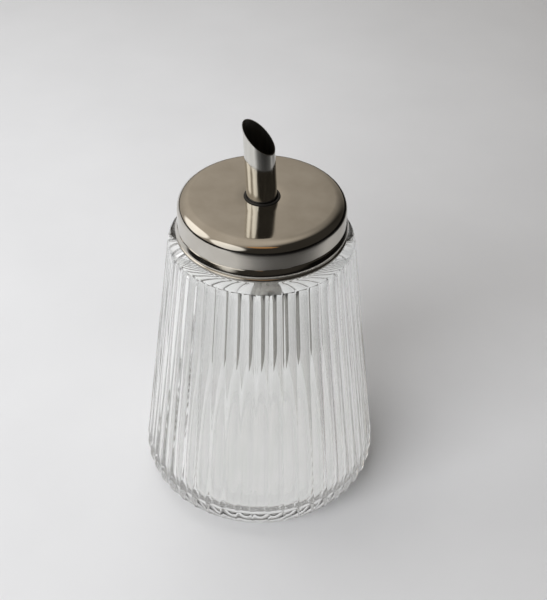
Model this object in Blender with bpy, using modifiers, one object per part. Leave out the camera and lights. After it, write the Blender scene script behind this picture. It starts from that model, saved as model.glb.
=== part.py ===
"""Condiment dispenser: a ribbed glass jar, a steel screw cap and a slant-cut pouring tube.

Lengths are in metres and angles in radians. +Z is up, the origin is the centre of the base, and
the jar stands on the plane z = 0. Profiles are lists of (radius, height) points: those of a
solid run down its outer side, and those of a ring go on up its inner side.
"""
from math import acos, atan2, cos, hypot, pi, radians, sin, sqrt

import bmesh
import bpy

# Glass jar, outside: radii are over the crests of the ribs
FOOT_RADIUS = 0.0454
FOOT_FILLET = 0.0116
SHOULDER_RADIUS = 0.03385
SHOULDER_FILLET = 0.0036
SHOULDER_HEIGHT = 0.1112
BASE_RING_WIDTH = 0.0065
PUSH_UP_HEIGHT = 0.0016

# Reeds drawn down the outside of the jar
RIB_COUNT = 46
RIB_DEPTH_SHARE = 0.15
RIB_FADE_POWER = 0.25

# Neck of the jar, which fills the cap but for the clearance round it
NECK_CLEARANCE = 0.0015
NECK_HEIGHT = 0.0131
NECK_WALL = 0.0040
NECK_ROOT_FILLET = 0.0012
RIM_FILLET = 0.0012

# Inside of the jar
JAR_WALL = 0.0034
LEDGE_THICKNESS = 0.0036
FLOOR_THICKNESS = 0.0065
FLOOR_FILLET = 0.0080
INNER_SHOULDER_FILLET = 0.0045
THROAT_FILLET = 0.0018

# Clearances
SEAT_GAP = 0.0003
SLIP_GAP = 0.00025

# Seal ring between the cap and the rim
SEAL_THICKNESS = 0.0013
SEAL_EDGE = 0.0003
SEAL_OVERLAP = 0.0005

# Screw cap, pressed from sheet
SHEET = 0.0005
CAP_RADIUS = 0.0300
CAP_FILLET = 0.0037
CAP_BAND_DEPTH = 0.0078
CAP_SKIRT_CLEARANCE = 0.0004
RIDGE_HEIGHT = 0.0011
THREAD_PITCH = 0.0033
CURL_RADIUS = 0.0008

# One rolled ridge: (share of the pitch down from the band, share of the ridge's height)
RIDGE_OUTLINE_SHARES = ((0.18, 0.08), (0.54, 0.62), (0.84, 1.0), (1.02, 0.92), (1.26, 0.24))
CURL_START = radians(58)

# Pouring tube: the bead is its pivot, and the soft grommet lets it lean to the left
TUBE_RADIUS = 0.0054
TUBE_WALL = 0.0005
MOUTH_RISE = 0.0236
TUBE_DROP = 0.0877
SLANT = radians(45)
SLANT_HEADING = radians(-23)
BEAD_RADIUS = 0.0006
BEAD_DROP = 0.0023
TUBE_LEAN = radians(3)

# Grommet that holds the tube in the cap
GROMMET_WAIST_WALL = 0.0003
GROMMET_LIP_WIDTH = 0.0004
GROMMET_LIP_THICKNESS = 0.00045
GROMMET_FLANGE_WIDTH = 0.0026
GROMMET_FLANGE_THICKNESS = 0.0031
GROMMET_EDGE = 0.0002

# Fineness of the curved surfaces
RIB_SEGMENTS = 4
CAVITY_SEGMENTS_PER_RIB = 2
CAP_SEGMENTS = 56
SMALL_SEGMENTS = 32
ARC_STEPS = 4
INNER_ARC_STEPS = 3
EDGE_STEPS = 1
DOME_STEPS = 2
CURL_STEPS = 6
WELD_DISTANCE = 0.00001
SHARP_ANGLE = radians(35)
OVERRUN = 0.0050

# Heights and radii that follow from the sizes above
RIM_HEIGHT = SHOULDER_HEIGHT + NECK_HEIGHT
SEAL_HEIGHT = RIM_HEIGHT + SEAT_GAP
CAP_HEIGHT = SEAL_HEIGHT + SEAL_THICKNESS + SEAT_GAP + SHEET
SKIRT_DEPTH = CAP_HEIGHT - SHOULDER_HEIGHT - CAP_SKIRT_CLEARANCE
NECK_RADIUS = CAP_RADIUS - SHEET - NECK_CLEARANCE
NECK_BORE = NECK_RADIUS - NECK_WALL
GROMMET_BORE = TUBE_RADIUS + SLIP_GAP
GROMMET_WAIST = GROMMET_BORE + GROMMET_WAIST_WALL
CAP_HOLE = GROMMET_WAIST + SLIP_GAP

GLASS_COLOUR = (0.86, 0.88, 0.87, 1.0)
STEEL_COLOUR = (0.62, 0.60, 0.57, 1.0)
SEAL_COLOUR = (0.82, 0.82, 0.80, 1.0)
GROMMET_COLOUR = (0.015, 0.015, 0.016, 1.0)


def clear_scene():
    """Remove the objects that a new file starts with."""
    for item in list(bpy.data.objects):
        bpy.data.objects.remove(item, do_unlink=True)


def make_collection(name):
    """A new collection, linked to the scene."""
    collection = bpy.data.collections.new(name)
    bpy.context.scene.collection.children.link(collection)
    return collection


def principled(name, colour, roughness, metallic=0.0, transmission=0.0):
    """A material with one Principled shader."""
    material = bpy.data.materials.new(name)
    material.use_nodes = True
    material.diffuse_color = colour
    shader = material.node_tree.nodes["Principled BSDF"]
    shader.inputs["Base Color"].default_value = colour
    shader.inputs["Roughness"].default_value = roughness
    shader.inputs["Metallic"].default_value = metallic
    shader.inputs["Transmission Weight"].default_value = transmission
    return material


def arc(centre_radius, centre_height, radius, start, end, steps):
    """Points on an arc of a profile, with angles measured up from the outward direction."""
    points = []
    for step in range(steps + 1):
        angle = start + (end - start) * step / steps
        points.append((centre_radius + radius * cos(angle), centre_height + radius * sin(angle)))
    return points


def tangent_tilt(lower, upper):
    """Upward tilt of the normal of the straight side that touches two arcs on their outside.

    Each arc is (centre radius, centre height, arc radius).
    """
    run = upper[0] - lower[0]
    rise = upper[1] - lower[1]
    return atan2(rise, run) - acos((lower[2] - upper[2]) / hypot(run, rise))


def offset_inward(profile, distance):
    """The profile moved sideways by a sheet's thickness, to the right of its own direction."""
    moved = []
    for index, (radius, height) in enumerate(profile):
        before = profile[max(index - 1, 0)]
        after = profile[min(index + 1, len(profile) - 1)]
        run = after[0] - before[0]
        fall = after[1] - before[1]
        length = hypot(run, fall)
        moved.append((radius + distance * fall / length, height - distance * run / length))
    return moved


def rounded_ring(inner, outer, bottom, top, edge):
    """Section of a flat ring with its four edges rounded."""
    corners = (
        (outer - edge, top - edge, pi / 2),
        (outer - edge, bottom + edge, 0),
        (inner + edge, bottom + edge, -pi / 2),
        (inner + edge, top - edge, -pi),
    )
    section = []
    for centre_radius, centre_height, start in corners:
        section += arc(centre_radius, centre_height, edge, start, start - pi / 2, EDGE_STEPS)
    return section


def add_object(name, mesh, collection, material=None, parent=None):
    """Put a mesh in the scene as a named object."""
    item = bpy.data.objects.new(name, mesh)
    collection.objects.link(item)
    item.parent = parent
    if material:
        mesh.materials.append(material)
    return item


def add_axis(name, height, collection, parent=None):
    """An empty on the jar's axis that carries the pieces that move together."""
    empty = bpy.data.objects.new(name, None)
    empty.empty_display_type = "SINGLE_ARROW"
    empty.empty_display_size = CAP_RADIUS
    empty.location.z = height
    collection.objects.link(empty)
    empty.parent = parent
    return empty


def shade_round(item):
    """Smooth shading that keeps the edges sharp."""
    item.data.shade_smooth()
    item.data.set_sharp_from_angle(angle=SHARP_ANGLE)


def turn(name, profile, segments, collection, material=None, parent=None, closed=False):
    """A profile turned once about Z: from pole to pole, or a closed section that makes a ring."""
    last = len(profile)
    edges = [(index, (index + 1) % last) for index in range(last if closed else last - 1)]
    mesh = bpy.data.meshes.new(name)
    mesh.from_pydata([(radius, 0, height) for radius, height in profile], edges, [])
    item = add_object(name, mesh, collection, material, parent)
    screw = item.modifiers.new("turn", "SCREW")
    screw.axis = "Z"
    screw.angle = 2 * pi
    screw.steps = segments
    screw.render_steps = segments
    screw.use_merge_vertices = True
    screw.merge_threshold = WELD_DISTANCE
    graph = bpy.context.evaluated_depsgraph_get()
    item.data = bpy.data.meshes.new_from_object(item.evaluated_get(graph))
    item.modifiers.clear()
    shade_round(item)
    return item


def cut(item, cutter):
    """Subtract a cutter, which stays hidden in its own collection."""
    cutter.hide_render = True
    cutter.display_type = "WIRE"
    boolean = item.modifiers.new(cutter.name, "BOOLEAN")
    boolean.operation = "DIFFERENCE"
    boolean.solver = "EXACT"
    boolean.object = cutter


def jar_outer_profile():
    """Outside of the jar over the rib crests, from the closed mouth down to the base's centre."""
    lower = (FOOT_RADIUS - FOOT_FILLET, FOOT_FILLET, FOOT_FILLET)
    upper = (SHOULDER_RADIUS - SHOULDER_FILLET, SHOULDER_HEIGHT - SHOULDER_FILLET, SHOULDER_FILLET)
    tilt = tangent_tilt(lower, upper)
    root_radius = NECK_RADIUS + NECK_ROOT_FILLET
    root_height = SHOULDER_HEIGHT + NECK_ROOT_FILLET
    ring_inner = lower[0] - BASE_RING_WIDTH
    rim = arc(NECK_RADIUS - RIM_FILLET, RIM_HEIGHT - RIM_FILLET, RIM_FILLET, pi / 2, 0, INNER_ARC_STEPS)
    root = arc(root_radius, root_height, NECK_ROOT_FILLET, pi, 3 * pi / 2, EDGE_STEPS)
    shoulder = arc(*upper, pi / 2, tilt, INNER_ARC_STEPS)
    foot = arc(*lower, tilt, -pi / 2, ARC_STEPS)
    dome = [
        (ring_inner * (1 - step / DOME_STEPS), PUSH_UP_HEIGHT * (1 - cos(pi * step / DOME_STEPS)) / 2)
        for step in range(DOME_STEPS + 1)
    ]
    return [(0, RIM_HEIGHT)] + rim + root + shoulder + foot + dome


def jar_cavity_profile():
    """Inside of the jar, from above the mouth down to the middle of the floor."""
    lower = (FOOT_RADIUS - JAR_WALL - FLOOR_FILLET, FLOOR_THICKNESS + FLOOR_FILLET, FLOOR_FILLET)
    ceiling = SHOULDER_HEIGHT - LEDGE_THICKNESS
    upper = (
        SHOULDER_RADIUS - JAR_WALL - INNER_SHOULDER_FILLET,
        ceiling - INNER_SHOULDER_FILLET,
        INNER_SHOULDER_FILLET,
    )
    tilt = tangent_tilt(lower, upper)
    rim = arc(NECK_BORE + RIM_FILLET, RIM_HEIGHT - RIM_FILLET, RIM_FILLET, pi / 2, pi, EDGE_STEPS)
    throat_centre = (NECK_BORE + THROAT_FILLET, ceiling + THROAT_FILLET)
    throat = arc(*throat_centre, THROAT_FILLET, pi, 3 * pi / 2, EDGE_STEPS)
    shoulder = arc(*upper, pi / 2, tilt, INNER_ARC_STEPS)
    floor = arc(*lower, tilt, -pi / 2, INNER_ARC_STEPS)
    above = RIM_HEIGHT + OVERRUN
    mouth = [(0, above), (NECK_BORE + RIM_FILLET, above)]
    return mouth + rim + throat + shoulder + floor + [(0, FLOOR_THICKNESS)]


def rib_share(radius, height):
    """How much of their full depth the reeds have at a point of the outside, from 0 to 1.

    They run out over the foot and the shoulder as those round over to level.
    """
    if radius < FOOT_RADIUS - FOOT_FILLET and height < FOOT_FILLET:
        return 0
    if height > SHOULDER_HEIGHT:
        return 0
    below = (FOOT_FILLET - height) / FOOT_FILLET
    above = (height - SHOULDER_HEIGHT + SHOULDER_FILLET) / SHOULDER_FILLET
    lean = min(max(below, above, 0), 1)
    return (1 - lean * lean) ** RIB_FADE_POWER


def press_ribs(mesh):
    """Draw the outside in between the crests, so that round reeds stand beside each other."""
    step = 2 * pi / RIB_COUNT
    for vertex in mesh.vertices:
        x, y, height = vertex.co
        radius = hypot(x, y)
        if radius < WELD_DISTANCE:
            continue
        place = (atan2(y, x) / step) % 1
        from_crest = 1 - abs(2 * place - 1)
        depth = RIB_DEPTH_SHARE * radius * step * rib_share(radius, height) * from_crest ** 2
        vertex.co.x = x * (1 - depth / radius)
        vertex.co.y = y * (1 - depth / radius)


def make_jar(parts, cutters, parent):
    """The pressed-glass jar: turned, ribbed, then hollowed."""
    glass = principled("clear_glass", GLASS_COLOUR, 0.03, transmission=1.0)
    jar = turn("glass_jar", jar_outer_profile(), RIB_COUNT * RIB_SEGMENTS, parts, glass, parent)
    press_ribs(jar.data)
    segments = RIB_COUNT * CAVITY_SEGMENTS_PER_RIB
    cut(jar, turn("jar_cavity", jar_cavity_profile(), segments, cutters, parent=parent))
    return jar


def skirt_outline(top, reach):
    """Outside of the cap's rolled skirt below its smooth band, down to the curled edge."""
    return [
        (CAP_RADIUS + height_share * RIDGE_HEIGHT, top - pitch_share * THREAD_PITCH)
        for pitch_share, height_share in RIDGE_OUTLINE_SHARES
        if pitch_share * THREAD_PITCH < reach
    ]


def cap_section():
    """Section of the cap from its hole, with z = 0 at the flat top."""
    band = -CAP_BAND_DEPTH
    curl_centre = (CAP_RADIUS + RIDGE_HEIGHT - CURL_RADIUS, CURL_RADIUS - SKIRT_DEPTH)
    top = arc(CAP_RADIUS - CAP_FILLET, -CAP_FILLET, CAP_FILLET, pi / 2, 0, ARC_STEPS)
    outside = [(CAP_HOLE, 0)] + top + [(CAP_RADIUS, band)]
    outside += skirt_outline(band, SKIRT_DEPTH - CAP_BAND_DEPTH - 2 * CURL_RADIUS)
    inside = offset_inward(outside, SHEET)
    curl = arc(*curl_centre, CURL_RADIUS, CURL_START, -pi - CURL_START, CURL_STEPS)
    return outside + curl + inside[::-1]


def make_cap(parts, parent):
    """The polished steel cap with its rolled thread ridges and curled edge."""
    steel = principled("polished_steel", STEEL_COLOUR, 0.10, metallic=1.0)
    cap = turn("screw_cap", cap_section(), CAP_SEGMENTS, parts, steel, parent, closed=True)
    return cap


def make_seal(parts, parent):
    """The flat seal ring, which lies on the glass rim under the cap's top."""
    white = principled("soft_white_plastic", SEAL_COLOUR, 0.55)
    inner_fillet = CAP_FILLET - SHEET
    fillet_reach = sqrt(inner_fillet ** 2 - (inner_fillet - SEAT_GAP) ** 2)
    outer = CAP_RADIUS - CAP_FILLET + fillet_reach - SEAT_GAP
    inner = NECK_BORE - SEAL_OVERLAP
    bottom = SEAL_HEIGHT - CAP_HEIGHT
    section = rounded_ring(inner, outer, bottom, bottom + SEAL_THICKNESS, SEAL_EDGE)
    seal = turn("rim_seal", section, CAP_SEGMENTS, parts, white, parent, closed=True)
    return seal


def grommet_section():
    """Section of the grommet: a lip on the cap, a waist in its hole and a flange that locks the bead."""
    lip_radius = CAP_HOLE + GROMMET_LIP_WIDTH
    flange_radius = CAP_HOLE + GROMMET_FLANGE_WIDTH
    lip_top = SLIP_GAP + GROMMET_LIP_THICKNESS
    flange_top = -SHEET - SLIP_GAP
    flange_bottom = flange_top - GROMMET_FLANGE_THICKNESS
    lean_play = GROMMET_BORE * sin(TUBE_LEAN)
    groove = BEAD_RADIUS + SLIP_GAP + lean_play
    edge = GROMMET_EDGE
    section = [(GROMMET_BORE, lip_top)]
    section += arc(lip_radius - edge, lip_top - edge, edge, pi / 2, 0, EDGE_STEPS)
    section += [(lip_radius, SLIP_GAP), (GROMMET_WAIST, SLIP_GAP), (GROMMET_WAIST, flange_top)]
    section += arc(flange_radius - edge, flange_top - edge, edge, pi / 2, 0, EDGE_STEPS)
    section += arc(flange_radius - edge, flange_bottom + edge, edge, 0, -pi / 2, EDGE_STEPS)
    section += [(GROMMET_BORE, flange_bottom)]
    section += arc(GROMMET_BORE, -BEAD_DROP, groove, -pi / 2, pi / 2, ARC_STEPS)
    return section


def make_grommet(parts, parent):
    """The black grommet that holds the tube in the hole of the cap."""
    rubber = principled("black_silicone", GROMMET_COLOUR, 0.5)
    grommet = turn("tube_grommet", grommet_section(), SMALL_SEGMENTS, parts, rubber, parent, closed=True)
    return grommet


def tube_section():
    """Section of the tube's wall, with z = 0 at its rolled bead and longer than the tube at both ends."""
    bead = arc(TUBE_RADIUS, 0, BEAD_RADIUS, pi / 2, -pi / 2, ARC_STEPS)
    top = BEAD_DROP + MOUTH_RISE + TUBE_RADIUS + OVERRUN
    bottom = BEAD_DROP - TUBE_DROP - TUBE_RADIUS - OVERRUN
    bore = TUBE_RADIUS - TUBE_WALL
    return [(TUBE_RADIUS, top)] + bead + [(TUBE_RADIUS, bottom), (bore, bottom), (bore, top)]


def slant_cutter(name, height, side, collection, parent):
    """A block whose slanted face trims one end of the tube, above it (1) or below it (-1)."""
    size = 2 * (MOUTH_RISE + TUBE_RADIUS + OVERRUN)
    mesh = bpy.data.meshes.new(name)
    block = bmesh.new()
    bmesh.ops.create_cube(block, size=size)
    bmesh.ops.translate(block, verts=block.verts, vec=(0, 0, side * size / 2))
    block.to_mesh(mesh)
    block.free()
    cutter = add_object(name, mesh, collection, parent=parent)
    cutter.location.z = height
    cutter.rotation_euler = (0, SLANT, SLANT_HEADING)
    return cutter


def make_tube(parts, cutters, parent):
    """The steel pouring tube, cut on the same slant at its mouth and at its foot."""
    steel = principled("polished_steel_tube", STEEL_COLOUR, 0.14, metallic=1.0)
    tube = turn("spout_tube", tube_section(), SMALL_SEGMENTS, parts, steel, parent, closed=True)
    cut(tube, slant_cutter("mouth_slant", BEAD_DROP + MOUTH_RISE, 1, cutters, parent))
    cut(tube, slant_cutter("foot_slant", BEAD_DROP - TUBE_DROP, -1, cutters, parent))
    return tube


def main():
    """Build the dispenser."""
    clear_scene()
    parts = make_collection("condiment_dispenser")
    cutters = make_collection("cutters")
    jar_axis = add_axis("jar_axis", 0, parts)
    cap_axis = add_axis("cap_axis", CAP_HEIGHT, parts, jar_axis)
    spout_axis = add_axis("spout_axis", -BEAD_DROP, parts, cap_axis)
    spout_axis.rotation_euler.y = -TUBE_LEAN
    make_jar(parts, cutters, jar_axis)
    make_cap(parts, cap_axis)
    make_seal(parts, cap_axis)
    make_grommet(parts, cap_axis)
    make_tube(parts, cutters, spout_axis)


if __name__ == "__main__":
    main()
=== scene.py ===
"""Looks of the condiment dispenser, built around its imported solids.

The camera and a plain studio come first, then the fluted glass jar with its threaded neck, the
screw cap of polished sheet, the slant-cut pouring tube, its grommet and the rim seal. Lengths
are in metres and angles in radians, +Z is up, and every piece stays where its solid is.
"""

import logging
import math
from dataclasses import dataclass
from enum import Enum
from typing import Callable, Iterable, Sequence

import bpy
from mathutils import Matrix, Vector

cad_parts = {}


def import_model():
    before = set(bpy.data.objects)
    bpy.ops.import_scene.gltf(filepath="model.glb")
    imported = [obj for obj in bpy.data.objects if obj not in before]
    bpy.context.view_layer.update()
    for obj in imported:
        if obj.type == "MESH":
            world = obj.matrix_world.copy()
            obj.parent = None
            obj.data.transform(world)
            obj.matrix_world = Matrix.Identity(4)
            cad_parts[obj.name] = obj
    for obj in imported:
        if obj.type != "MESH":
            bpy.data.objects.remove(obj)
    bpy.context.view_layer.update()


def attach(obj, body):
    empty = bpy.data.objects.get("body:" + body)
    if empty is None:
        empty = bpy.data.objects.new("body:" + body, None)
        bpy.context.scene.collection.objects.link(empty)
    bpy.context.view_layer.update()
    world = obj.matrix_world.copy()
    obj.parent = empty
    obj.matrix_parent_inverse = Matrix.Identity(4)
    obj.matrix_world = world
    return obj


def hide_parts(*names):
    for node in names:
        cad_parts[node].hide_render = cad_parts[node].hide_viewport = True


Piece = bpy.types.Object
Material = bpy.types.Material
Tree = bpy.types.NodeTree
Node = bpy.types.Node
Socket = bpy.types.NodeSocket
Inputs = dict[str | int, object]
Point = tuple[float, float]
Span = tuple[float, float]
Triple = tuple[float, float, float]
Colour = tuple[float, float, float, float]

LOG = logging.getLogger("condiment_dispenser")

MM = 0.001
FULL_TURN = 2 * math.pi
QUARTER = FULL_TURN / 4
WELD = 0.002 * MM

BACKDROP = "#D0D0D0"
SHARES: Span = (0.0, 1.0)

# The part of a noise's range that two tones of a finish run over
TONE_SPAN: Span = (0.3, 0.7)

# Bounds between the whole counts of the Light Path node, which counts a wall of glass twice
NO_MIRROR = 0.5
ONE_MIRROR = 1.5
ONE_WALL = 3.5


class Body(Enum):
    """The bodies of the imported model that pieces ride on."""

    JAR = "jar"
    SEAL = "seal"
    GROMMET = "grommet"
    CAP = "cap"
    SPOUT = "spout"


class Slot(Enum):
    """The record's material slots."""

    GLASS = "clear_glass"
    CAP_STEEL = "polished_steel"
    TUBE_STEEL = "polished_steel_tube"
    SEAL = "soft_white_plastic"
    SILICONE = "black_silicone"


# Tools for shaders


def linear(code: str) -> Colour:
    """Turn a colour written as on a screen into the linear values that shaders take.

    Args:
        code: The colour as "#RRGGBB".

    Returns:
        Linear red, green and blue, and 1 as the fourth value.
    """
    shares = [int(code[place : place + 2], 16) / 255 for place in (1, 3, 5)]
    values = [s / 12.92 if s <= 0.04045 else ((s + 0.055) / 1.055) ** 2.4 for s in shares]
    return (*values, 1.0)


def grey(level: float) -> Colour:
    """A neutral colour of one linear level."""
    return (level, level, level, 1.0)


def feed(tree: Tree, node: Node, inputs: Inputs) -> None:
    """Feed a node's inputs, each by a socket that is joined to it or by a value."""
    for key, source in inputs.items():
        if isinstance(source, Socket):
            tree.links.new(source, node.inputs[key])
        else:
            node.inputs[key].default_value = source


def add_node(tree: Tree, kind: str, inputs: Inputs | None = None, **settings: object) -> Node:
    """Add a node, set its properties and feed its inputs.

    Args:
        tree: The node tree it goes into.
        kind: The node's type name, without the "ShaderNode" that it starts with.
        inputs: A socket or value for each input, by name or number.
        **settings: Values for the node's own properties.

    Returns:
        The new node.
    """
    node = tree.nodes.new(f"ShaderNode{kind}")
    for name, value in settings.items():
        setattr(node, name, value)
    feed(tree, node, inputs or {})
    return node


def calculate(tree: Tree, operation: str, *terms: Socket | float) -> Socket:
    """Work out one operation of the Math node.

    Args:
        tree: The node tree.
        operation: The operation's name.
        *terms: Sockets or numbers, in the order that the operation takes them.

    Returns:
        The result's socket.
    """
    node = add_node(tree, "Math", dict(enumerate(terms)), operation=operation)
    return node.outputs["Value"]


def remap(
    tree: Tree, value: Socket, before: Span, after: Span = SHARES, curve: str = "LINEAR"
) -> Socket:
    """Stretch one range of values to another, held at both ends.

    Args:
        tree: The node tree.
        value: The socket to read.
        before: The ends of the range.
        after: What the two ends turn into.
        curve: The Map Range node's kind of interpolation.

    Returns:
        The new value's socket.
    """
    ends = zip(("From Min", "From Max", "To Min", "To Max"), (*before, *after))
    inputs = {"Value": value, **dict(ends)}
    node = add_node(tree, "MapRange", inputs, interpolation_type=curve)
    return node.outputs["Result"]


def ramp(tree: Tree, factor: Socket, stops: Sequence[tuple[float, Colour]]) -> Socket:
    """Colour that runs through the given stops as a factor goes from 0 to 1.

    Args:
        tree: The node tree.
        factor: The socket that drives it.
        stops: Pairs of place and colour.

    Returns:
        The colour socket.
    """
    node = add_node(tree, "ValToRGB", {"Fac": factor})
    elements = node.color_ramp.elements
    while len(elements) < len(stops):
        elements.new(1.0)
    for element, (place, colour) in zip(elements, stops):
        element.position = place
        element.color = colour
    return node.outputs["Color"]


def mix_shaders(tree: Tree, share: Socket, first: Socket, second: Socket) -> Socket:
    """Mix two shaders: the first where the share is 0, and the second where it is 1."""
    node = add_node(tree, "MixShader", {0: share, 1: first, 2: second})
    return node.outputs["Shader"]


def background(tree: Tree, colour: Colour, strength: Socket | float = 1.0) -> Socket:
    """Light of the world, of one colour and strength."""
    inputs = {"Color": colour, "Strength": strength}
    return add_node(tree, "Background", inputs).outputs["Background"]


def light_path(tree: Tree, fact: str) -> Socket:
    """What the Light Path node tells of a ray."""
    return add_node(tree, "LightPath").outputs[fact]


def length(tree: Tree, vector: Socket) -> Socket:
    """The length of a vector."""
    node = add_node(tree, "VectorMath", {0: vector}, operation="LENGTH")
    return node.outputs["Value"]


def object_place(tree: Tree) -> Socket:
    """Where a point lies in the object's own metres."""
    return add_node(tree, "TexCoord").outputs["Object"]


def within(tree: Tree, place: Socket, centre: Triple, turn: Triple, reach: Triple) -> Socket:
    """A place as seen from the middle of a turned box, in shares of the box's reach.

    Args:
        tree: The node tree.
        place: The place's socket.
        centre: The box's middle.
        turn: The box's rotation.
        reach: How far the box reaches from its middle along each of its axes.

    Returns:
        The shares along the three axes.
    """
    inputs = {"Vector": place, "Location": centre, "Rotation": turn, "Scale": reach}
    node = add_node(tree, "Mapping", inputs, vector_type="TEXTURE")
    return node.outputs["Vector"]


def new_material(name: str) -> tuple[Material, Tree, Node]:
    """Start a material: it, its node tree and its Principled node."""
    material = bpy.data.materials.new(name)
    material.use_nodes = True
    tree = material.node_tree
    return material, tree, tree.nodes["Principled BSDF"]


def show(tree: Tree, shader: Socket) -> None:
    """Let a shader be what a material shows."""
    feed(tree, tree.nodes["Material Output"], {"Surface": shader})


def tint(tree: Tree, factor: Socket, tones: tuple[str, str], span: Span = TONE_SPAN) -> Socket:
    """Colour that runs from one tone to another.

    Args:
        tree: The material's node tree.
        factor: The socket that drives it.
        tones: The colours below and above the span.
        span: The part of the factor's range over which the colour changes.

    Returns:
        The colour socket.
    """
    return ramp(tree, factor, [(place, linear(code)) for place, code in zip(span, tones)])


def relief(tree: Tree, height: Socket, rise: float) -> Socket:
    """The normals of a fine relief.

    Args:
        tree: The material's node tree.
        height: The relief's height as a share.
        rise: The height that a share of 1 stands for.

    Returns:
        The normal socket.
    """
    inputs = {"Height": height, "Strength": 1.0, "Distance": rise}
    return add_node(tree, "Bump", inputs).outputs["Normal"]


def through_glass(tree: Tree) -> Socket:
    """Whether a ray comes through glass, and not by way of metal.

    A ray that has crossed only one wall of glass can't have met the metal inside the jar, so
    it counts even where the glass has mirrored it within.

    Args:
        tree: The node tree.

    Returns:
        A socket that is 1 or 0.
    """
    no_mirror = calculate(tree, "LESS_THAN", light_path(tree, "Glossy Depth"), NO_MIRROR)
    one_wall = calculate(tree, "LESS_THAN", light_path(tree, "Transmission Depth"), ONE_WALL)
    either = calculate(tree, "MAXIMUM", no_mirror, one_wall)
    return calculate(tree, "MULTIPLY", light_path(tree, "Is Transmission Ray"), either)


# Tools for meshes


def deselect() -> None:
    """Leave edit mode with nothing selected."""
    if bpy.context.object and bpy.context.object.mode != "OBJECT":
        bpy.ops.object.mode_set(mode="OBJECT")
    bpy.ops.object.select_all(action="DESELECT")


def activate(piece: Piece) -> None:
    """Make one piece the selected and active object."""
    deselect()
    piece.select_set(True)
    bpy.context.view_layer.objects.active = piece


def apply_modifier(piece: Piece, kind: str, **settings: object) -> None:
    """Give a piece a modifier and apply it.

    Args:
        piece: The piece.
        kind: The modifier's type name.
        **settings: Values for the modifier's properties.
    """
    activate(piece)
    modifier = piece.modifiers.new(kind.lower(), kind)
    for name, value in settings.items():
        setattr(modifier, name, value)
    bpy.ops.object.modifier_apply(modifier=modifier.name)


def raise_where(piece: Piece, rise: float, weight: Callable[[Vector], float]) -> None:
    """Move a piece's points out along their normals, each by its own share of a rise.

    Args:
        piece: The piece.
        rise: How far a point of weight 1 moves.
        weight: The weight, from 0 to 1, at a point.
    """
    group = piece.vertex_groups.new(name="raised")
    for vertex in piece.data.vertices:
        share = weight(vertex.co)
        if share > 0:
            group.add([vertex.index], share, "REPLACE")
    settings = {"direction": "NORMAL", "mid_level": 0.0, "vertex_group": group.name}
    apply_modifier(piece, "DISPLACE", strength=rise, **settings)
    piece.vertex_groups.clear()


def shade(piece: Piece, sharp: float) -> None:
    """Shade a piece smooth, with edges sharper than an angle kept."""
    activate(piece)
    bpy.ops.object.shade_smooth_by_angle(angle=sharp)


def arc(centre: Point, radius: float, start: float, end: float, steps: int) -> list[Point]:
    """Points along an arc of a profile.

    Args:
        centre: Radius and height of the arc's centre.
        radius: Its radius.
        start: First angle, measured up from the outward direction.
        end: Last angle.
        steps: Number of pieces.

    Returns:
        The points, both ends included.
    """
    angles = [start + (end - start) * step / steps for step in range(steps + 1)]
    return [(centre[0] + radius * math.cos(a), centre[1] + radius * math.sin(a)) for a in angles]


def line(start: Point, end: Point, steps: int) -> list[Point]:
    """Points along a straight stretch of a profile, both ends left out."""
    run, rise = end[0] - start[0], end[1] - start[1]
    shares = [step / steps for step in range(1, steps)]
    return [(start[0] + run * share, start[1] + rise * share) for share in shares]


def tangent_tilt(lower: tuple[Point, float], upper: tuple[Point, float]) -> float:
    """Upward tilt of the straight side that touches two arcs on their outside.

    Args:
        lower: Centre and radius of the lower arc.
        upper: Centre and radius of the upper arc.

    Returns:
        The angle of the side's normal above level.
    """
    run = upper[0][0] - lower[0][0]
    rise = upper[0][1] - lower[0][1]
    return math.atan2(rise, run) - math.acos((lower[1] - upper[1]) / math.hypot(run, rise))


def smooth_share(value: float) -> float:
    """Ease a share between 0 and 1, level at both ends."""
    held = min(max(value, 0.0), 1.0)
    return held * held * (3 - 2 * held)


def turned(name: str, profile: Sequence[Point], steps: int, closed: bool = False) -> Piece:
    """Draw a profile point by point in edit mode and spin it once about Z.

    Args:
        name: The piece's name.
        profile: Radius and height of each point.
        steps: Number of steps of the spin.
        closed: Whether the profile's last point joins its first.

    Returns:
        The turned piece, with its object at the origin.
    """
    deselect()
    bpy.ops.mesh.primitive_plane_add(size=MM, location=(profile[0][0], 0, profile[0][1]))
    piece = bpy.context.object
    piece.name = name
    piece.data.name = name
    bpy.ops.object.transform_apply(location=True, rotation=False, scale=False)
    bpy.ops.object.mode_set(mode="EDIT")
    bpy.ops.mesh.select_all(action="SELECT")
    bpy.ops.mesh.merge(type="CENTER")
    for before, after in zip(profile, profile[1:]):
        step = (after[0] - before[0], 0, after[1] - before[1])
        bpy.ops.mesh.extrude_vertices_move(TRANSFORM_OT_translate={"value": step})
    if closed:
        bpy.ops.mesh.select_all(action="DESELECT")
        select_points(piece, (profile[0], profile[-1]))
        bpy.ops.mesh.edge_face_add()
    bpy.ops.mesh.select_all(action="SELECT")
    bpy.ops.mesh.spin(steps=steps, angle=FULL_TURN, center=(0, 0, 0), axis=(0, 0, 1))
    bpy.ops.mesh.select_all(action="SELECT")
    bpy.ops.mesh.remove_doubles(threshold=WELD)
    bpy.ops.mesh.normals_make_consistent(inside=False)
    bpy.ops.object.mode_set(mode="OBJECT")
    return piece


def select_points(piece: Piece, places: Sequence[Point]) -> None:
    """Select those vertices of a profile in edit mode that lie on one of some points."""
    bpy.ops.object.mode_set(mode="OBJECT")
    for vertex in piece.data.vertices:
        vertex.select = any(math.dist(vertex.co.xz, place) < WELD for place in places)
    bpy.ops.object.mode_set(mode="EDIT")


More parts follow.
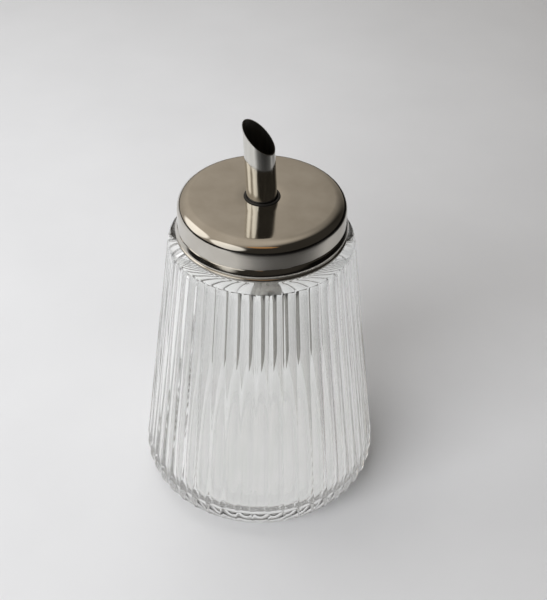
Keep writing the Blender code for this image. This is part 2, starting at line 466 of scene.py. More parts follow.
def dress(piece: Piece, material: Material) -> None:
    """Give a new piece its material."""
    piece.data.materials.clear()
    piece.data.materials.append(material)


# Finishes


@dataclass(frozen=True)
class Noise:
    """Noise laid out in the object's own metres, with the width of one feature.

    The detail is how many finer layers it has, and the stretch how much shorter its features
    are along each axis.
    """

    feature: float
    detail: float
    stretch: Triple = (1, 1, 1)

    def share(self, tree: Tree) -> Socket:
        """The noise's level at a point, between 0 and 1."""
        stretched = {"Vector": object_place(tree), "Scale": self.stretch}
        place = add_node(tree, "Mapping", stretched).outputs["Vector"]
        inputs = {"Vector": place, "Scale": 1 / self.feature, "Detail": self.detail}
        return add_node(tree, "TexNoise", inputs).outputs["Fac"]


@dataclass(frozen=True)
class PressedGlass:
    """Soda-lime glass, pressed in an iron mould and fire-polished.

    It is clear, glossy and nearly colourless, and its faces are faintly wavy, which makes the
    lines seen through it waver. Light that crosses it on its way to the floor is weakened.
    """

    name: str = "soda_lime_pressed_glass"
    clear: str = "#FDFDFD"
    thick: str = "#F9FAF9"
    tone_span: Span = (0.35, 0.65)
    passed: str = "#B9B9B9"
    roughness: float = 0.0
    ior: float = 1.52
    waves: Noise = Noise(7 * MM, 1.0, (1, 1, 0.45))
    wave_height: float = 0.006 * MM

    def make(self) -> Material:
        """Build the material."""
        material, tree, glass = new_material(self.name)
        waves = self.waves.share(tree)
        looks = {
            "Base Color": tint(tree, waves, (self.thick, self.clear), self.tone_span),
            "Roughness": self.roughness,
            "IOR": self.ior,
            "Transmission Weight": 1.0,
            "Normal": relief(tree, waves, self.wave_height),
        }
        feed(tree, glass, looks)
        shadow = light_path(tree, "Is Shadow Ray")
        lets_by = add_node(tree, "BsdfTransparent", {"Color": linear(self.passed)})
        show(tree, mix_shaders(tree, shadow, glass.outputs["BSDF"], lets_by.outputs["BSDF"]))
        return material


@dataclass(frozen=True)
class PolishedSteel:
    """Stainless sheet or tube, drawn and then buffed.

    It mirrors the room, and the buffing leaves it softly uneven, with faint smears and ripples.
    """

    name: str
    base: str = "#CDC9C1"
    shade: str = "#C2BDB4"
    roughness: Span = (0.05, 0.13)
    smears: Noise = Noise(9 * MM, 4.0)
    ripples: Noise = Noise(3 * MM, 2.0)
    ripple_height: float = 0.004 * MM

    def make(self) -> Material:
        """Build the material."""
        material, tree, steel = new_material(self.name)
        smears = self.smears.share(tree)
        looks = {
            "Base Color": tint(tree, smears, (self.shade, self.base)),
            "Metallic": 1.0,
            "Roughness": remap(tree, smears, TONE_SPAN, self.roughness),
            "Normal": relief(tree, self.ripples.share(tree), self.ripple_height),
        }
        feed(tree, steel, looks)
        return material


@dataclass(frozen=True)
class DullBore:
    """The inside of the drawn tube, never polished: dull grey steel with streaks along it."""

    name: str = "stainless_tube_bore_unpolished"
    base: str = "#8E8C88"
    shade: str = "#7E7C78"
    roughness: float = 0.5
    streaks: Noise = Noise(5 * MM, 3.0, (5, 5, 0.5))

    def make(self) -> Material:
        """Build the material."""
        material, tree, steel = new_material(self.name)
        colour = tint(tree, self.streaks.share(tree), (self.shade, self.base))
        looks = {"Base Color": colour, "Metallic": 1.0, "Roughness": self.roughness}
        feed(tree, steel, looks)
        return material


@dataclass(frozen=True)
class SoftMoulding:
    """A soft moulded part: silicone or soft plastic, matt, with a faint mould grain."""

    name: str
    base: str
    shade: str
    roughness: float
    grain: Noise = Noise(0.6 * MM, 3.0)
    grain_height: float = 0.01 * MM

    def make(self) -> Material:
        """Build the material."""
        material, tree, soft = new_material(self.name)
        grain = self.grain.share(tree)
        looks = {
            "Base Color": tint(tree, grain, (self.shade, self.base)),
            "Roughness": self.roughness,
            "Normal": relief(tree, grain, self.grain_height),
        }
        feed(tree, soft, looks)
        return material


@dataclass(frozen=True)
class MattPaper:
    """The pale seamless paper that the object stands on, matt and very faintly mottled.

    Mirrors see it with painted shade: dark outside a lit oblong, and dimmer all over from behind
    glass. Glass sees it as a painted glow of light, nearly evenly pale. Far off it runs into the
    backdrop for the camera.
    """

    name: str = "matt_background_paper"
    base: str = "#E6E6E6"
    shade: str = "#E2E2E2"
    roughness: float = 0.9
    gloss: float = 0.2
    mottle: Noise = Noise(60 * MM, 4.0)
    # Painted shade: the dark colour that mirrors see on the floor beyond the lit oblong
    beyond: str = "#1A1918"
    # Painted light: the glow that glass sees on the floor, from the window's side across
    painted_glow_left: str = "#F6F6F6"
    painted_glow_right: str = "#D9D9D9"
    painted_glow_reach: float = 100 * MM
    painted_glow_share: float = 0.8
    # Painted shade: how much darker a mirror behind glass sees the floor
    painted_shade_in_glass: float = 0.36
    # The oblong inside which mirrors see the floor free of painted shade
    mirror_lit_centre: Triple = (-0.23, 0.27, 0.0)
    mirror_lit_reach: Triple = (0.36, 0.55, 1.0)
    mirror_lit_turn: float = math.radians(30)
    edge_span: Span = (0.8, 1.3)
    # How strong the painted shade grows past the oblong's edge
    dims: tuple[Point, ...] = (
        (0, 0), (0.15, 0.38), (0.22, 0.62), (0.33, 0.8), (0.6, 0.95), (1, 1)
    )
    far_span: Span = (0.5, 1.3)

    def make(self) -> Material:
        """Build the material."""
        material, tree, paper = new_material(self.name)
        looks = {
            "Base Color": tint(tree, self.mottle.share(tree), (self.shade, self.base)),
            "Roughness": self.roughness,
            "Specular IOR Level": self.gloss,
        }
        feed(tree, paper, looks)
        # Painted shade: mirrors see the floor mixed towards a dark colour
        dark = add_node(tree, "BsdfDiffuse", {"Color": linear(self.beyond)})
        sheet = mix_shaders(tree, self.painted_mirror_shade(tree), paper.outputs["BSDF"], dark.outputs["BSDF"])
        # Painted light: glass sees the floor mostly as a glow
        through = calculate(tree, "MULTIPLY", through_glass(tree), self.painted_glow_share)
        pale = add_node(tree, "Emission", {"Color": self.painted_glow(tree)})
        near = mix_shaders(tree, through, sheet, pale.outputs["Emission"])
        backdrop = add_node(tree, "Emission", {"Color": linear(BACKDROP)})
        show(tree, mix_shaders(tree, self.farness(tree), near, backdrop.outputs["Emission"]))
        return material

    def painted_mirror_shade(self, tree: Tree) -> Socket:
        """Painted shade on the sheet as mirrors see it: by its place, and all over from behind
        glass.

        Args:
            tree: The material's node tree.

        Returns:
            A socket that is 1 where a mirror sees the sheet wholly in painted shade, and 0 for
            all but mirrors.
        """
        # Painted shade: behind glass a mirror sees the whole floor darker
        crossed = light_path(tree, "Transmission Depth")
        in_glass = calculate(tree, "GREATER_THAN", crossed, ONE_WALL)
        dimmed = calculate(tree, "MULTIPLY", in_glass, self.painted_shade_in_glass)
        dimmest = calculate(tree, "MAXIMUM", self.dimming(tree), dimmed)
        mirrors = light_path(tree, "Glossy Depth")
        mirrored = calculate(tree, "GREATER_THAN", mirrors, NO_MIRROR)
        return calculate(tree, "MULTIPLY", dimmest, mirrored)

    def dimming(self, tree: Tree) -> Socket:
        """Painted shade that mirrors see, growing towards the edge of a lit oblong and beyond.

        Args:
            tree: The material's node tree.

        Returns:
            A socket that is 0 inside the oblong and 1 far beyond it.
        """
        turn = (0.0, 0.0, self.mirror_lit_turn)
        shared = within(tree, object_place(tree), self.mirror_lit_centre, turn, self.mirror_lit_reach)
        sides = add_node(tree, "VectorMath", {0: shared}, operation="ABSOLUTE")
        apart = add_node(tree, "SeparateXYZ", {0: sides.outputs["Vector"]}).outputs
        beyond = remap(tree, calculate(tree, "MAXIMUM", apart["X"], apart["Y"]), self.edge_span)
        return ramp(tree, beyond, [(place, grey(dim)) for place, dim in self.dims])

    def painted_glow(self, tree: Tree) -> Socket:
        """Painted light: the glow that glass sees on the sheet, brightest on the window's side.

        Args:
            tree: The material's node tree.

        Returns:
            The colour socket.
        """
        apart = add_node(tree, "SeparateXYZ", {0: object_place(tree)})
        across = remap(tree, apart.outputs["X"], (-self.painted_glow_reach, self.painted_glow_reach))
        stops = [(0.0, linear(self.painted_glow_left)), (1.0, linear(self.painted_glow_right))]
        return ramp(tree, across, stops)

    def farness(self, tree: Tree) -> Socket:
        """How far a place that the camera sees has run into the backdrop.

        Args:
            tree: The material's node tree.

        Returns:
            A socket that is 0 around the object and 1 far off, for the camera alone.
        """
        far = remap(tree, length(tree, object_place(tree)), self.far_span, curve="SMOOTHSTEP")
        return calculate(tree, "MULTIPLY", far, light_path(tree, "Is Camera Ray"))


# Camera and studio


@dataclass(frozen=True)
class PhotoCamera:
    """A camera in front of the object, at -Y, that looks down on it."""

    focal_px: float = 1229.2
    frame_px: float = 600.0
    sensor_mm: float = 36.0
    distance: float = 458.64 * MM
    elevation: float = math.radians(38.736)
    roll: float = math.radians(1.09)
    aim: Triple = (4.663 * MM, 0.0, 80.05 * MM)
    clip: Span = (10 * MM, 100.0)

    def build(self) -> None:
        """Add the camera and make it the scene's."""
        data = bpy.data.cameras.new("photo_camera")
        camera = bpy.data.objects.new("photo_camera", data)
        bpy.context.scene.collection.objects.link(camera)
        data.sensor_width = self.sensor_mm
        data.lens = self.focal_px * self.sensor_mm / self.frame_px
        data.clip_start, data.clip_end = self.clip
        ahead = Vector((0, math.cos(self.elevation), -math.sin(self.elevation)))
        level_right = Vector((1, 0, 0))
        level_up = level_right.cross(ahead)
        right = level_right * math.cos(self.roll) + level_up * math.sin(self.roll)
        up = level_up * math.cos(self.roll) - level_right * math.sin(self.roll)
        place = Vector(self.aim) - ahead * self.distance
        axes = (right, up, -ahead)
        rows = [(*(axis[row] for axis in axes), place[row]) for row in range(3)]
        camera.matrix_world = Matrix((*rows, (0, 0, 0, 1)))
        bpy.context.scene.camera = camera


@dataclass(frozen=True)
class Lamp:
    """One soft lamp, aimed at a point, that mirrors and glass don't show."""

    name: str
    place: Triple
    size: Span
    power: float
    aim: Triple
    colour: str = "#F7F9FD"

    def build(self) -> None:
        """Add the lamp."""
        data = bpy.data.lights.new(self.name, "AREA")
        data.shape = "RECTANGLE"
        data.size, data.size_y = self.size
        data.energy = self.power
        data.color = linear(self.colour)[:3]
        lamp = bpy.data.objects.new(self.name, data)
        bpy.context.scene.collection.objects.link(lamp)
        ahead = Vector(self.aim) - Vector(self.place)
        lamp.location = self.place
        lamp.rotation_euler = ahead.to_track_quat("-Z", "Y").to_euler()
        lamp.visible_glossy = False
        lamp.visible_transmission = False


@dataclass(frozen=True)
class RoomPatch:
    """A soft-edged patch of the room, bright or dark, around one direction.

    Its reach is given along the direction, to the sides and up, as shares of the distance.
    """

    heading: float
    elevation: float
    reach: Triple
    core: float

    def share(self, tree: Tree, direction: Socket) -> Socket:
        """How much a direction belongs to the patch.

        Args:
            tree: The world's node tree.
            direction: The direction that is looked in.

        Returns:
            A socket that runs from 1 in the patch's core to 0 at its reach.
        """
        level = math.cos(self.elevation)
        across = (level * math.cos(self.heading), level * math.sin(self.heading))
        middle = (*across, math.sin(self.elevation))
        turn = (0.0, -self.elevation, self.heading)
        distance = length(tree, within(tree, direction, middle, turn, self.reach))
        return remap(tree, distance, (self.core, 1.0), (1.0, 0.0), curve="SMOOTHSTEP")


@dataclass(frozen=True)
class Studio:
    """The pale floor, two soft lamps and the dim warm room around, with its two windows."""

    floor_reach: float = 2.5
    floor_corners: int = 96
    wall: Colour = (0.485, 0.435, 0.372, 1.0)
    wall_strength: float = 1.24
    dark_side: RoomPatch = RoomPatch(math.radians(322), 0.0, (2.2, 1.5, 1.1), 0.75)
    dark_strength: float = 0.08
    dim_corner: RoomPatch = RoomPatch(math.radians(55), math.radians(38), (0.75,) * 3, 0.2)
    corner_loss: float = 0.5
    windows: tuple[RoomPatch, RoomPatch] = (
        RoomPatch(math.radians(226), math.radians(19), (0.5, 0.44, 0.42), 0.75),
        RoomPatch(math.radians(174), math.radians(19), (0.5, 0.44, 0.42), 0.75),
    )
    window_colour: Colour = (1.0, 0.99, 0.96, 1.0)
    window_strength: float = 1.05
    window_seen: float = 0.9
    lit_share: float = 0.33
    warm_wood: RoomPatch = RoomPatch(math.radians(271), math.radians(49), (0.5, 0.34, 0.11), 0.6)
    wood_colour: Colour = (0.62, 0.33, 0.13, 1.0)
    bounces: int = 32
    mirror_bounces: int = 16
    paper: MattPaper = MattPaper()
    window: Lamp = Lamp("window_lamp", (-0.676, -0.965, 0.609), (1.2, 0.8), 21.0, (0, 0, 60 * MM))
    skylight: Lamp = Lamp("skylight_lamp", (-0.2, 0.2, 0.42), (0.5, 0.5), 1.25, (-0.2, 0.2, 0))

    def build_floor(self) -> None:
        """Add the paper that the object stands on."""
        deselect()
        bpy.ops.mesh.primitive_circle_add(
            vertices=self.floor_corners, radius=self.floor_reach, fill_type="NGON"
        )
        floor = bpy.context.object
        floor.name = "floor"
        floor.data.materials.append(self.paper.make())

    def room(self, tree: Tree, direction: Socket, glare: Socket) -> Socket:
        """What metal mirrors of the room: warm walls, bright windows and a strip of wood.

        Only the first mirror on a ray's way shows the wood.

        Args:
            tree: The world's node tree.
            direction: The direction that is looked in.
            glare: How much that direction belongs to a window.

        Returns:
            The shader's socket.
        """
        side = self.dark_side.share(tree, direction)
        level = remap(tree, side, SHARES, (self.wall_strength, self.dark_strength))
        corner = self.dim_corner.share(tree, direction)
        left_over = remap(tree, corner, SHARES, (1.0, 1 - self.corner_loss))
        walls = background(tree, self.wall, calculate(tree, "MULTIPLY", level, left_over))
        shining = calculate(tree, "MULTIPLY", glare, self.window_strength)
        panes = background(tree, self.window_colour, shining)
        lit_walls = add_node(tree, "AddShader", {0: walls, 1: panes})
        mirrors = light_path(tree, "Glossy Depth")
        first_mirror = calculate(tree, "LESS_THAN", mirrors, ONE_MIRROR)
        strip = self.warm_wood.share(tree, direction)
        woody = calculate(tree, "MULTIPLY", strip, first_mirror)
        wood = background(tree, self.wood_colour)
        return mix_shaders(tree, woody, lit_walls.outputs["Shader"], wood)

    def build_room(self) -> None:
        """Make the world: a dim warm room with two windows, a dark side and a dim corner.

        The camera sees a plain pale backdrop in its place, and so does glass, where the windows
        glare in it. Matt surfaces get only a share of the room's light.
        """
        world = bpy.data.worlds.new("room")
        bpy.context.scene.world = world
        world.use_nodes = True
        tree = world.node_tree
        tree.nodes.clear()
        direction = add_node(tree, "TexCoord").outputs["Generated"]
        shares = [window.share(tree, direction) for window in self.windows]
        glare = calculate(tree, "MAXIMUM", *shares)
        matt = light_path(tree, "Is Diffuse Ray")
        unlit = calculate(tree, "MULTIPLY", matt, 1 - self.lit_share)
        black = background(tree, grey(0.0))
        lighting = mix_shaders(tree, unlit, self.room(tree, direction, glare), black)
        glass = through_glass(tree)
        seen_glare = calculate(tree, "MULTIPLY", glare, glass)
        seen = calculate(tree, "MULTIPLY_ADD", seen_glare, self.window_seen, 1.0)
        pale = background(tree, linear(BACKDROP), seen)
        plainly = calculate(tree, "ADD", glass, light_path(tree, "Is Camera Ray"))
        whole = mix_shaders(tree, plainly, lighting, pale)
        add_node(tree, "OutputWorld", {"Surface": whole})

    def build(self) -> None:
        """Build the floor, the room and the lamps, and let light cross many walls of glass."""
        self.build_floor()
        self.build_room()
        self.window.build()
        self.skylight.build()
        cycles = bpy.context.scene.cycles
        cycles.max_bounces = self.bounces
        cycles.transmission_bounces = self.bounces
        cycles.glossy_bounces = self.mirror_bounces


# The glass jar


@dataclass(frozen=True)
class HelicalThread:
    """The right-hand thread that the cap and the neck share."""

    pitch: float = 3.3 * MM
    crest_height: float = 114.3 * MM
    crest_heading: float = -QUARTER
    turns_below: float = 0.4
    turns_above: float = 0.6
    run_out: float = 0.1
    width: float = 4.4 * MM
    crest_round: float = 0.15

    def share(self, place: Vector) -> float:
        """How far up the thread's ridge a point is.

        Args:
            place: A point on or near the threaded wall.

        Returns:
            1 on the crest of the ridge and 0 off it.
        """
        onward = (math.atan2(place.y, place.x) - self.crest_heading) / FULL_TURN
        raised = (place.z - self.crest_height) / self.pitch
        best = 0.0
        for turns in (onward - 1, onward):
            off = abs(raised - turns) * self.pitch / (self.width / 2)
            inside = min(turns + self.turns_below, self.turns_above - turns) / self.run_out
            if off < 1 and inside > 0:
                flank = 1 + self.crest_round - math.hypot(off, self.crest_round)
                best = max(best, smooth_share(inside) * flank)
        return best


@dataclass(frozen=True)
class GlassJar:
    """The pressed-glass jar: fluted and tapering, with a rounded foot and a threaded neck."""

    foot_radius: float = 45.4 * MM
    foot_fillet: float = 11.6 * MM
    shoulder_radius: float = 33.85 * MM
    shoulder_fillet: float = 3.6 * MM
    shoulder_height: float = 111.2 * MM
    base_ring_width: float = 6.5 * MM
    push_up: float = 1.6 * MM
    neck_radius: float = 28.0 * MM
    neck_height: float = 13.1 * MM
    neck_bore: float = 24.0 * MM
    neck_root: float = 1.2 * MM
    rim_fillet: float = 1.2 * MM
    wall: float = 3.4 * MM
    ledge: float = 3.6 * MM
    floor: float = 6.5 * MM
    floor_fillet: float = 8.0 * MM
    inner_shoulder_fillet: float = 4.5 * MM
    throat_fillet: float = 1.8 * MM
    flutes: int = 46
    flute_steps: int = 12
    flute_phase: float = 0.2
    flute_depth_share: float = 0.17
    flute_fade_power: float = 0.5
    flute_end_share: float = 0.75
    thread_height: float = 1.0 * MM
    thread: HelicalThread = HelicalThread(width=1.9 * MM)
    sharp: float = math.radians(32)
    dome_steps: int = 8
    foot_steps: int = 14
    side_steps: int = 10
    root_steps: int = 4
    neck_steps: int = 30
    rim_steps: int = 5
    inner_steps: int = 6
    corner_steps: int = 8
    glass: PressedGlass = PressedGlass()

    @property
    def rim_height(self) -> float:
        """Height of the neck's rim."""
        return self.shoulder_height + self.neck_height

    def outer_profile(self) -> list[Point]:
        """Outside over the ridges between the flutes, from the base's centre up to the rim."""
        lower = ((self.foot_radius - self.foot_fillet, self.foot_fillet), self.foot_fillet)
        fillet = self.shoulder_fillet
        upper = ((self.shoulder_radius - fillet, self.shoulder_height - fillet), fillet)
        tilt = tangent_tilt(lower, upper)
        ring_inner = lower[0][0] - self.base_ring_width
        shares = [step / self.dome_steps for step in range(self.dome_steps + 1)]
        dome = [(ring_inner * s, self.push_up * (1 + math.cos(math.pi * s)) / 2) for s in shares]
        foot = arc(*lower, -QUARTER, tilt, self.foot_steps)
        shoulder = arc(*upper, tilt, QUARTER, self.side_steps)
        side = line(foot[-1], shoulder[0], self.side_steps)
        root_centre = (self.neck_radius + self.neck_root, self.shoulder_height + self.neck_root)
        root = arc(root_centre, self.neck_root, 3 * QUARTER, 2 * QUARTER, self.root_steps)
        rim_centre = (self.neck_radius - self.rim_fillet, self.rim_height - self.rim_fillet)
        rim = arc(rim_centre, self.rim_fillet, 0, QUARTER, self.rim_steps)
        neck = line(root[-1], rim[0], self.neck_steps)
        return dome + foot + side + shoulder + root + neck + rim

    def inner_profile(self) -> list[Point]:
        """Inside, from the rim down to the middle of the floor."""
        lower_radius = self.foot_radius - self.wall - self.floor_fillet
        lower = ((lower_radius, self.floor + self.floor_fillet), self.floor_fillet)
        ceiling = self.shoulder_height - self.ledge
        fillet = self.inner_shoulder_fillet
        upper = ((self.shoulder_radius - self.wall - fillet, ceiling - fillet), fillet)
        tilt = tangent_tilt(lower, upper)
        rim_centre = (self.neck_bore + self.rim_fillet, self.rim_height - self.rim_fillet)
        rim = arc(rim_centre, self.rim_fillet, QUARTER, 2 * QUARTER, self.rim_steps)
        fillet = self.throat_fillet
        centre = (self.neck_bore + fillet, ceiling + fillet)
        throat = arc(centre, fillet, 2 * QUARTER, 3 * QUARTER, self.rim_steps)
        shoulder = arc(*upper, QUARTER, tilt, self.inner_steps)
        corner = arc(*lower, tilt, -QUARTER, self.corner_steps)
        side = line(shoulder[-1], corner[0], self.inner_steps)
        middle = (0.0, self.floor)
        bottom = line(corner[-1], middle, self.inner_steps)
        return rim + throat + shoulder + side + corner + bottom + [middle]

    def flute_share(self, place: Vector) -> float:
        """How deep a point of the jar is drawn in to hollow the flutes.

        Args:
            place: A point of the jar before it is fluted.

        Returns:
            The depth as a share of the depth at the foot's widest.
        """
        radius = place.xy.length
        under = radius < self.foot_radius - self.foot_fillet and place.z < self.foot_fillet
        if under or place.z > self.shoulder_height or not self.is_outside(place):
            return 0.0
        below = (self.foot_fillet - place.z) / (self.foot_fillet * self.flute_end_share)
        above = (place.z - self.shoulder_height + self.shoulder_fillet) / self.shoulder_fillet
        lean = min(max(below, above, 0.0), 1.0)
        turns = math.atan2(place.y, place.x) * self.flutes / FULL_TURN - self.flute_phase
        from_middle = abs(2 * (turns % 1) - 1)
        fade = (1 - lean * lean) ** self.flute_fade_power
        return self.hollow_share(from_middle) * fade * radius / self.foot_radius

    def hollow_share(self, from_middle: float) -> float:
        """Depth of a round flute, 1 in its middle and 0 on the ridges beside it."""
        half = 0.5
        bend = (half**2 + self.flute_depth_share**2) / (2 * self.flute_depth_share)
        drop = bend - math.sqrt(bend**2 - (half * from_middle) ** 2)
        return 1 - drop / self.flute_depth_share

    def is_outside(self, place: Vector) -> bool:
        """Whether a point is on the outside wall rather than the inside one."""
        if place.z < self.floor - WELD:
            return True
        taper = (self.foot_radius - self.shoulder_radius) / self.shoulder_height
        middle = self.foot_radius - self.wall / 2 - taper * max(place.z - self.foot_fillet, 0)
        return place.xy.length > middle

    def thread_share(self, place: Vector) -> float:
        """How far up its thread's ridge a point of the neck's outside is, and 0 elsewhere."""
        wall_middle = (self.neck_radius + self.neck_bore) / 2
        neck_foot = self.shoulder_height + self.neck_root
        neck_head = self.rim_height - self.rim_fillet
        outside = place.xy.length > wall_middle
        if outside and neck_foot < place.z < neck_head:
            return self.thread.share(place)
        return 0.0

    def build(self) -> Piece:
        """Turn the jar, press its flutes and raise its neck's thread.

        Returns:
            The jar.
        """
        points = self.outer_profile() + self.inner_profile()
        others = [b for a, b in zip(points, points[1:]) if math.dist(a, b) > WELD]
        jar = turned("pressed_glass_jar", [points[0], *others], self.flutes * self.flute_steps)
        depth = self.flute_depth_share * FULL_TURN * self.foot_radius / self.flutes
        raise_where(jar, -depth, self.flute_share)
        raise_where(jar, self.thread_height, self.thread_share)
        shade(jar, self.sharp)
        dress(jar, self.glass.make())
        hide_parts("glass_jar")
        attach(jar, Body.JAR.value)
        return jar


# The screw cap


@dataclass(frozen=True)
class ScrewCap:
    """The cap of polished sheet, with a smooth band, a rolled thread and a curled edge."""

    radius: float = 30.0 * MM
    fillet: float = 4.5 * MM
    top: float = 126.7 * MM
    band_foot: float = 117.3 * MM
    edge: float = 111.6 * MM
    hole: float = 6.2 * MM
    hole_round: float = 0.35 * MM
    ridge: float = 0.75 * MM
    ridge_ease: float = 0.8 * MM
    thread_above_edge: float = 1.44 * MM
    skirt_above_edge: float = 1.76 * MM
    skirt_flare: float = 0.075 * MM
    curl: float = 0.8 * MM
    curl_start: float = math.radians(70)
    curl_end: float = math.radians(-200)
    sheet: float = 0.5 * MM
    steps: int = 224
    lip_steps: int = 3
    flat_steps: int = 5
    shoulder_steps: int = 12
    band_steps: int = 4
    skirt_steps: int = 26
    curl_steps: int = 14
    thread: HelicalThread = HelicalThread()
    sharp: float = math.radians(40)
    steel: PolishedSteel = PolishedSteel("stainless_sheet_buffed")

    def profile(self) -> list[Point]:
        """Outside of the cap, from its hole to the end of its curled edge."""
        lip_centre = (self.hole + self.hole_round, self.top - self.hole_round)
        lip = arc(lip_centre, self.hole_round, 2 * QUARTER, QUARTER, self.lip_steps)
        shoulder_centre = (self.radius - self.fillet, self.top - self.fillet)
        shoulder = arc(shoulder_centre, self.fillet, QUARTER, 0, self.shoulder_steps)
        flat = line(lip[-1], shoulder[0], self.flat_steps)
        band_foot = (self.radius, self.band_foot)
        band = line(shoulder[-1], band_foot, self.band_steps)
        skirt_foot = (self.radius + self.skirt_flare, self.edge + self.skirt_above_edge)
        skirt = line(band_foot, skirt_foot, self.skirt_steps)
        curl_centre = (self.radius + self.ridge - self.curl, self.edge + self.curl)
        curl = arc(curl_centre, self.curl, self.curl_start, self.curl_end, self.curl_steps)
        return [*lip, *flat, *shoulder, *band, band_foot, *skirt, skirt_foot, *curl]

    def ridge_share(self, place: Vector) -> float:
        """How far up its thread's ridge a point of the skirt is, and 0 elsewhere."""
        low = self.edge + self.thread_above_edge
        outside = place.xy.length >= self.radius - WELD
        if not (outside and low < place.z < self.band_foot):
            return 0.0
        held = smooth_share((place.z - low) / self.ridge_ease)
        held *= smooth_share((self.band_foot - place.z) / self.ridge_ease)
        return held * self.thread.share(place)

    def build(self) -> Piece:
        """Turn the cap's outside, roll its thread and give the sheet its thickness.

        Returns:
            The cap.
        """
        cap = turned("pressed_screw_cap", self.profile(), self.steps)
        raise_where(cap, self.ridge, self.ridge_share)
        apply_modifier(cap, "SOLIDIFY", thickness=self.sheet, offset=-1.0)
        shade(cap, self.sharp)
        dress(cap, self.steel.make())
        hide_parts("screw_cap")
        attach(cap, Body.CAP.value)
        return cap


# The pouring tube and the soft parts


@dataclass(frozen=True)
class PouringTube:
    """The thin steel tube, cut on a slant at both ends, that leans in its grommet."""

    radius: float = 5.4 * MM
    wall: float = 0.3 * MM
    pivot: float = 124.4 * MM
    mouth: float = 25.9 * MM
    foot: float = -73.4 * MM
    slant: float = math.radians(45)
    heading: float = math.radians(-23)
    lean: float = math.radians(3)
    bead: float = 0.6 * MM
    bead_steps: int = 8
    overrun: float = 12 * MM
    steps: int = 96
    sharp: float = math.radians(35)
    dull_share: float = 0.75
    dull: DullBore = DullBore()
    steel: PolishedSteel = PolishedSteel(
        name="stainless_tube_drawn",
        base="#DEDCD6",
        shade="#CBC9C3",
        smears=Noise(9 * MM, 4.0, (7, 7, 0.5)),
        ripples=Noise(3 * MM, 2.0, (7, 7, 0.5)),
        ripple_height=0.012 * MM,
    )

    def build(self) -> Piece:
        """Turn the tube, bisect it at both ends, lean it and give its bore the dull finish.

        Returns:
            The tube.
        """
        top = self.mouth + self.overrun
        bottom = self.foot - self.overrun
        bore = self.radius - self.wall
        bead = arc((self.radius, 0), self.bead, -QUARTER, QUARTER, self.bead_steps)
        profile = [(bore, bottom), (self.radius, bottom), *bead, (self.radius, top), (bore, top)]
        tube = turned("slant_cut_tube", profile, self.steps, closed=True)
        across = Matrix.Rotation(self.heading, 3, "Z") @ Vector((math.sin(self.slant), 0, 0))
        along = Vector((0, 0, math.cos(self.slant)))
        activate(tube)
        bpy.ops.object.mode_set(mode="EDIT")
        for height, slope, outer in (
            (self.mouth, along + across, True),
            (self.foot, along - across, False),
        ):
            bpy.ops.mesh.select_all(action="SELECT")
            bpy.ops.mesh.bisect(
                plane_co=(0, 0, height),
                plane_no=slope,
                use_fill=True,
                clear_outer=outer,
                clear_inner=not outer,
            )
        bpy.ops.mesh.select_all(action="DESELECT")
        bpy.ops.object.mode_set(mode="OBJECT")
        leaned = Matrix.Translation((0, 0, self.pivot)) @ Matrix.Rotation(-self.lean, 4, "Y")
        tube.data.transform(leaned)
        shade(tube, self.sharp)
        dress(tube, self.steel.make())
        tube.data.materials.append(self.dull.make())
        dull_radius = self.radius - self.wall * self.dull_share
        for face in tube.data.polygons:
            face.material_index = int(self.from_axis(face.center) < dull_radius)
        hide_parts("spout_tube")
        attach(tube, Body.SPOUT.value)
        return tube

    def from_axis(self, place: Vector) -> float:
        """Distance of a place from the leaning tube's axis."""
        along = Vector((-math.sin(self.lean), 0, math.cos(self.lean)))
        return (place - Vector((0, 0, self.pivot))).cross(along).length


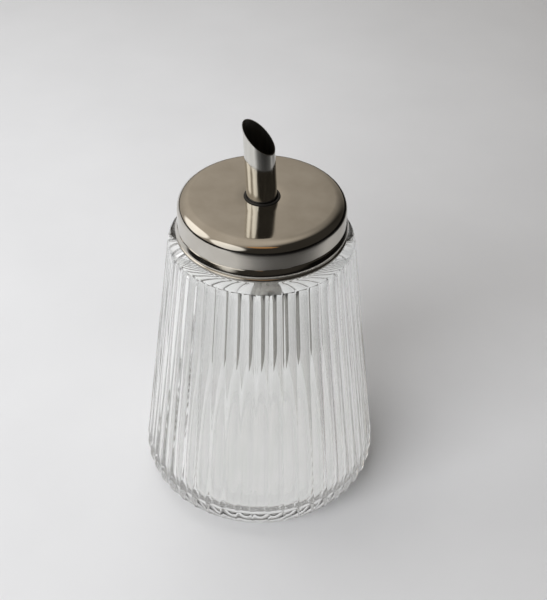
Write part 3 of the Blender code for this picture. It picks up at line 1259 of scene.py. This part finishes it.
@dataclass(frozen=True)
class Grommet:
    """The black silicone ring in the cap's hole, with a lip and a flange round the bead."""

    bore: float = 5.65 * MM
    waist: float = 5.95 * MM
    lip: float = 6.4 * MM
    lip_thickness: float = 0.25 * MM
    flange: float = 8.8 * MM
    flange_thickness: float = 3.1 * MM
    edge: float = 0.1 * MM
    groove: float = 1.15 * MM
    bead_height: float = 124.4 * MM
    cap_top: float = 126.7 * MM
    cap_sheet: float = 0.5 * MM
    gap: float = 0.02 * MM
    slip: float = 0.25 * MM
    steps: int = 96
    edge_steps: int = 4
    groove_steps: int = 10
    sharp: float = math.radians(35)
    silicone: SoftMoulding = SoftMoulding("silicone_black", "#1C1B1A", "#121212", 0.5)

    def build(self) -> Piece:
        """Turn the grommet's section.

        Returns:
            The grommet.
        """
        seat = self.cap_top + self.gap
        lip_top = seat + self.lip_thickness
        flange_top = self.cap_top - self.cap_sheet - self.slip
        flange_foot = flange_top - self.flange_thickness
        edge, steps = self.edge, self.edge_steps
        outer = self.flange - edge
        groove = (self.bore, self.bead_height)
        profile = [
            (self.bore, lip_top),
            *arc((self.lip - edge, lip_top - edge), edge, QUARTER, 0, steps),
            (self.lip, seat),
            (self.waist, seat),
            (self.waist, flange_top),
            *arc((outer, flange_top - edge), edge, QUARTER, 0, steps),
            *arc((outer, flange_foot + edge), edge, 0, -QUARTER, steps),
            (self.bore, flange_foot),
            *arc(groove, self.groove, -QUARTER, QUARTER, self.groove_steps),
        ]
        grommet = turned("silicone_grommet", profile, self.steps, closed=True)
        shade(grommet, self.sharp)
        dress(grommet, self.silicone.make())
        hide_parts("tube_grommet")
        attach(grommet, Body.GROMMET.value)
        return grommet


@dataclass(frozen=True)
class RimSeal:
    """The white foam ring between the rim and the cap, clear of the cap's rounded shoulder."""

    inner: float = 23.5 * MM
    outer: float = 26.4 * MM
    foot: float = 124.6 * MM
    thickness: float = 1.3 * MM
    edge: float = 0.3 * MM
    edge_steps: int = 4
    steps: int = 96
    sharp: float = math.radians(50)
    foam: SoftMoulding = SoftMoulding("polythene_foam_white", "#E7E6E1", "#DEDDD6", 0.6)

    def build(self) -> Piece:
        """Turn the seal's section.

        Returns:
            The seal.
        """
        near, far = self.inner + self.edge, self.outer - self.edge
        low, high = self.foot + self.edge, self.foot + self.thickness - self.edge
        profile = []
        start = -QUARTER
        for corner in ((far, low), (far, high), (near, high), (near, low)):
            profile += arc(corner, self.edge, start, start + QUARTER, self.edge_steps)
            start += QUARTER
        seal = turned("foam_rim_seal", profile, self.steps, closed=True)
        shade(seal, self.sharp)
        dress(seal, self.foam.make())
        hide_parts("rim_seal")
        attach(seal, Body.SEAL.value)
        return seal


def main() -> None:
    """Build the camera, the studio and the dispenser in order."""
    logging.basicConfig(level=logging.INFO, format="%(name)s: %(message)s")
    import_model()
    bpy.context.scene.view_settings.view_transform = "Standard"
    PhotoCamera().build()
    Studio().build()
    LOG.info("camera and studio are set")
    for maker in (GlassJar(), ScrewCap(), PouringTube(), Grommet(), RimSeal()):
        piece = maker.build()
        LOG.info("%s has %d faces", piece.name, len(piece.data.polygons))


if __name__ == "__main__":
    main()
